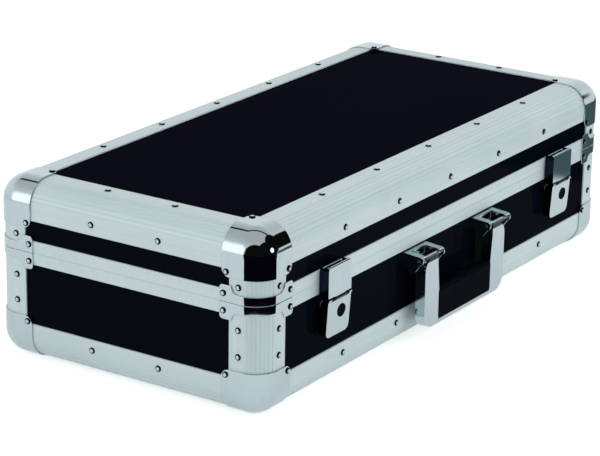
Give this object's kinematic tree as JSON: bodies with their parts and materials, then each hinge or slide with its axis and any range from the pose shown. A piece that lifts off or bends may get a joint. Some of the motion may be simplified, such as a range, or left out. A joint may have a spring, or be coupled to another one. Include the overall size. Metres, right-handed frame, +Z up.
{
  "type": "cd storage case",
  "caption": "Hard case with round aluminium edges, chromed ball corners, hinged lid, key-locking draw latches and a drop handle, for discs in two rows.",
  "frame": {"origin": "middle of the whole object's footprint, on the surface it stands on", "axes": "+X along the length, to the right seen from the latches; -Y towards the latches and the handle; +Z up"},
  "size_m": [0.6608, 0.3456, 0.1823],
  "materials": {
    "black_laminate": "glossy black laminate on plywood",
    "aluminium": "satin anodised",
    "chrome_corners": "polished chrome",
    "chrome_fittings": "polished chrome",
    "rivet_steel": "bright plated",
    "lining": "short black pile",
    "divider_board": "black covered board",
    "foam": "black foam sheet",
    "grip_plastic": "satin black plastic",
    "hinge_steel": "nickel plated",
    "pin_steel": "plated",
    "lock_black": "black",
    "plug_dark": "black plated"
  },
  "bodies": {
    "root": {"bottom_panel": "black_laminate", "base_panel_front": "black_laminate", "base_panel_back": "black_laminate", "base_panel_left": "black_laminate", "base_panel_right": "black_laminate", "base_edge_front": "aluminium", "base_edge_back": "aluminium", "base_edge_left": "aluminium", "base_edge_right": "aluminium", "base_corner_posts": "aluminium", "base_closure_strips": "aluminium", "base_corner_braces": "chrome_corners", "base_ball_corner_front_left": "chrome_corners", "base_ball_corner_front_right": "chrome_corners", "base_ball_corner_back_left": "chrome_corners", "base_ball_corner_back_right": "chrome_corners", "base_rivets": "rivet_steel", "base_lining": "lining", "row_divider": "divider_board", "handle_bracket_left": "chrome_fittings", "handle_bracket_right": "chrome_fittings", "handle_pins": "pin_steel", "latch_base_left": "chrome_fittings", "latch_base_right": "chrome_fittings", "latch_pivot_pins": "pin_steel", "hinge_leaves_base": "hinge_steel", "hinge_pins": "hinge_steel"},
    "lid": {"lid_panel_top": "black_laminate", "lid_panel_front": "black_laminate", "lid_panel_back": "black_laminate", "lid_panel_left": "black_laminate", "lid_panel_right": "black_laminate", "lid_edge_front": "aluminium", "lid_edge_back": "aluminium", "lid_edge_left": "aluminium", "lid_edge_right": "aluminium", "lid_corner_posts": "aluminium", "lid_closure_strips": "aluminium", "lid_corner_braces": "chrome_corners", "lid_ball_corner_front_left": "chrome_corners", "lid_ball_corner_front_right": "chrome_corners", "lid_ball_corner_back_left": "chrome_corners", "lid_ball_corner_back_right": "chrome_corners", "lid_rivets": "rivet_steel", "lid_pad": "foam", "latch_strikes": "chrome_fittings", "hinge_leaves_lid": "hinge_steel"},
    "handle": {"handle_frame": "chrome_fittings", "handle_grip": "grip_plastic"},
    "lever_left": {"latch_lever_left": "chrome_fittings", "lock_barrel_left": "lock_black", "link_pin_left": "pin_steel"},
    "hasp_left": {"latch_hasp_left": "chrome_fittings"},
    "key_plug_left": {"key_plug_left": "plug_dark"},
    "lever_right": {"latch_lever_right": "chrome_fittings", "lock_barrel_right": "lock_black", "link_pin_right": "pin_steel"},
    "hasp_right": {"latch_hasp_right": "chrome_fittings"},
    "key_plug_right": {"key_plug_right": "plug_dark"}
  },
  "joints": [
    {"name": "lid_hinge", "type": "hinge", "parent": "root", "child": "lid", "pos_m": [0, 0.16311, 0.1109], "axis": [-1, 0, 0], "range_deg": [0, 105]},
    {"name": "handle_swing", "type": "hinge", "parent": "root", "child": "handle", "pos_m": [0, -0.16909, 0.0919], "axis": [-1, 0, 0], "range_deg": [0, 90]},
    {"name": "lever_left_lift", "type": "hinge", "parent": "root", "child": "lever_left", "pos_m": [-0.217, -0.15449, 0.0994], "axis": [-1, 0, 0], "range_deg": [0, 90]},
    {"name": "hasp_left_turn", "type": "hinge", "parent": "lever_left", "child": "hasp_left", "pos_m": [-0.217, -0.16089, 0.0942], "axis": [1, 0, 0], "range_deg": [0, 120]},
    {"name": "key_left_turn", "type": "hinge", "parent": "lever_left", "child": "key_plug_left", "pos_m": [-0.2125, -0.16086, 0.0791], "axis": [0, -0.9977, -0.0684], "range_deg": [0, 90]},
    {"name": "lever_right_lift", "type": "hinge", "parent": "root", "child": "lever_right", "pos_m": [0.217, -0.15449, 0.0994], "axis": [-1, 0, 0], "range_deg": [0, 90]},
    {"name": "hasp_right_turn", "type": "hinge", "parent": "lever_right", "child": "hasp_right", "pos_m": [0.217, -0.16089, 0.0942], "axis": [1, 0, 0], "range_deg": [0, 120]},
    {"name": "key_right_turn", "type": "hinge", "parent": "lever_right", "child": "key_plug_right", "pos_m": [0.2215, -0.16086, 0.0791], "axis": [0, -0.9977, -0.0684], "range_deg": [0, 90]}
  ],
  "couplings": [
    {"joint": "hasp_left_turn", "follows": "lever_left_lift", "ratio": 1.3333},
    {"joint": "hasp_right_turn", "follows": "lever_right_lift", "ratio": 1.3333}
  ]
}
